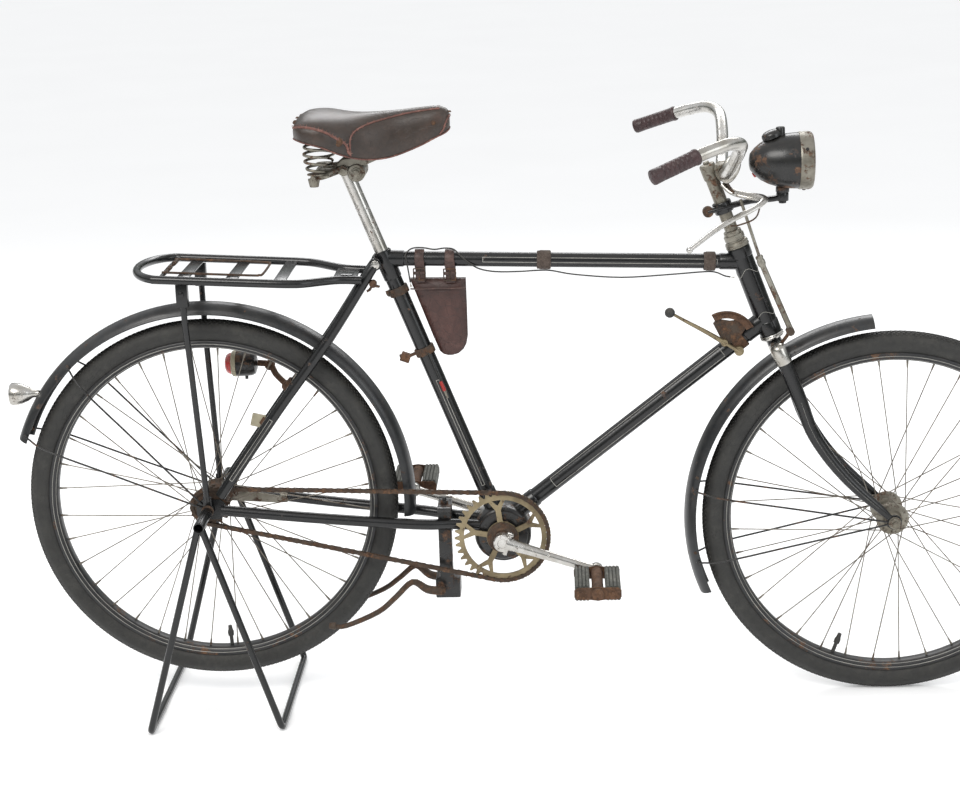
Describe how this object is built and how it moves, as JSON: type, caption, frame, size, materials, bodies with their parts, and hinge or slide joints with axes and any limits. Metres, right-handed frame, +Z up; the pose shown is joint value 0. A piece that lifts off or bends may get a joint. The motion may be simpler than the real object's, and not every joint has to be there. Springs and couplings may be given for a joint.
{
  "type": "rusty roadster bicycle",
  "caption": "Old rusty roadster bicycle on a tubular axle stand, with steering, turning wheels, cranks and pedals, and a folding centre stand.",
  "frame": {"origin": "on the floor, under the middle of the bicycle's outline", "axes": "+X forward along the bicycle, +Y to its left, +Z up"},
  "size_m": [1.878, 0.6544, 1.067],
  "materials": {
    "black_paint": "chipped black enamel",
    "bare_steel": "dull and spotted with rust",
    "rusty_steel": "rusted",
    "worn_chrome": "pitted nickel",
    "tarnished_ring": "tarnished",
    "tyre": "dry and dusty",
    "rubber": "cracked",
    "leather": "worn brown",
    "cloth_strip": "frayed cloth",
    "grip": "dark red-brown"
  },
  "bodies": {
    "frame": {"main_frame": "black_paint", "gear_housing": "black_paint", "chain_stay_right": "black_paint", "chain_stay_left": "black_paint", "seat_stay_right": "black_paint", "seat_stay_left": "black_paint", "rear_axle": "rusty_steel", "head_cup_lower": "worn_chrome", "seat_post": "bare_steel", "saddle_frame": "bare_steel", "saddle_spring_right": "bare_steel", "saddle_spring_left": "bare_steel", "saddle_cover": "leather", "rear_mudguard": "black_paint", "rear_guard_stay_right": "rusty_steel", "rear_guard_stay_left": "rusty_steel", "rear_reflector": "worn_chrome", "luggage_carrier": "black_paint", "carrier_leg_right": "black_paint", "carrier_leg_left": "black_paint", "carrier_clip": "rusty_steel", "tool_bag": "leather", "tube_band_middle": "cloth_strip", "tube_band_front": "cloth_strip", "lamp_wire": "rubber", "gear_lever": "bare_steel", "pump_peg_upper": "rusty_steel", "pump_peg_lower": "rusty_steel", "rear_lamp": "black_paint", "rear_lamp_bracket": "rusty_steel", "brake_arm": "bare_steel", "chain": "rusty_steel", "stand_bracket": "black_paint", "axle_stand": "black_paint"},
    "steering": {"front_fork": "black_paint", "front_axle": "bare_steel", "head_lock_nut": "worn_chrome", "stem": "worn_chrome", "handlebar": "worn_chrome", "grip_right": "grip", "grip_left": "grip", "headlamp": "black_paint", "lamp_bracket": "black_paint", "brake_lever": "worn_chrome", "brake_rod": "bare_steel", "front_mudguard": "black_paint", "front_guard_stay_right": "rusty_steel", "front_guard_stay_left": "rusty_steel"},
    "front_wheel": {"front_tyre": "tyre", "front_rim": "black_paint", "front_hub": "bare_steel"},
    "rear_wheel": {"rear_tyre": "tyre", "rear_rim": "black_paint", "rear_hub": "rusty_steel"},
    "cranks": {"chainring": "tarnished_ring", "crank_right": "worn_chrome", "crank_left": "worn_chrome"},
    "right_pedal": {"pedal_right": "rubber"},
    "left_pedal": {"pedal_left": "rubber"},
    "centre_stand": {"centre_stand_legs": "rusty_steel"}
  },
  "joints": [
    {"name": "steering_turn", "type": "hinge", "parent": "frame", "child": "steering", "pos_m": [0.3985, 0, 0.661], "axis": [-0.3518, 0, 0.9361], "range_deg": [-50, 50]},
    {"name": "front_wheel_spin", "type": "hinge", "parent": "steering", "child": "front_wheel", "pos_m": [0.609, 0, 0.33], "axis": [0, 1, 0], "continuous": true},
    {"name": "rear_wheel_spin", "type": "hinge", "parent": "frame", "child": "rear_wheel", "pos_m": [-0.589, 0, 0.378], "axis": [0, 1, 0], "continuous": true},
    {"name": "crank_spin", "type": "hinge", "parent": "frame", "child": "cranks", "pos_m": [-0.074, 0, 0.312], "axis": [0, 1, 0], "continuous": true},
    {"name": "right_pedal_spin", "type": "hinge", "parent": "cranks", "child": "right_pedal", "pos_m": [0.08937, -0.14475, 0.26049], "axis": [0, 1, 0], "continuous": true},
    {"name": "left_pedal_spin", "type": "hinge", "parent": "cranks", "child": "left_pedal", "pos_m": [-0.23737, 0.14475, 0.36351], "axis": [0, 1, 0], "continuous": true},
    {"name": "centre_stand_swing", "type": "hinge", "parent": "frame", "child": "centre_stand", "pos_m": [-0.185, 0, 0.21], "axis": [0, -1, 0], "range_deg": [0, 85]}
  ]
}
